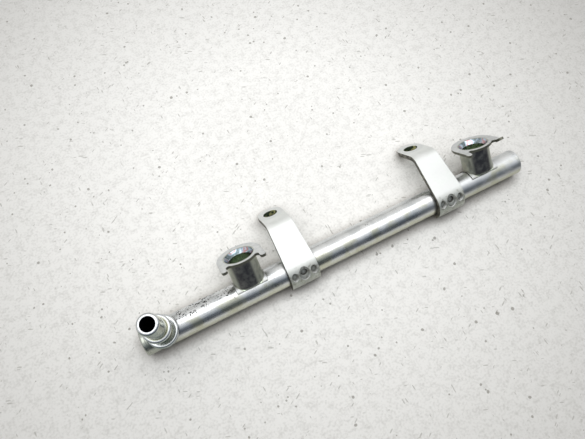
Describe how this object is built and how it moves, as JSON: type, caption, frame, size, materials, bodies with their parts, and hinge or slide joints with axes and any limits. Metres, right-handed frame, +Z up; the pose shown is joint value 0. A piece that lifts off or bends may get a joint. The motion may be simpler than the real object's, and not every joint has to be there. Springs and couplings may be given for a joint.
{
  "type": "fuel rail",
  "caption": "Straight round fuel rail with injector cups that have pronged flanges, strap brackets with bolt holes and a quick-connect inlet at one end.",
  "frame": {"origin": "on the floor it lies on, under the middle of its box", "axes": "+X along the tube from the inlet end to the far end, +Z up, the rail lying on its tube and on the ends of both bracket tabs"},
  "size_m": [0.203, 0.0432, 0.0405],
  "materials": {
    "plated_tube": "bright zinc plating, finely drawn, with small black corrosion specks",
    "plated_cup": "satin zinc plating",
    "plated_strap": "bright zinc plating on pressed sheet, sheared edges duller",
    "passivated_inlet": "turned steel with a faint yellow passivation"
  },
  "bodies": {
    "root": {"rail_tube": "plated_tube", "inlet_end_plug": "plated_tube", "far_end_plug": "plated_tube", "injector_cup_1": "plated_cup", "injector_cup_2": "plated_cup", "bracket_1": "plated_strap", "bracket_2": "plated_strap", "inlet_nipple": "passivated_inlet"}
  },
  "joints": []
}
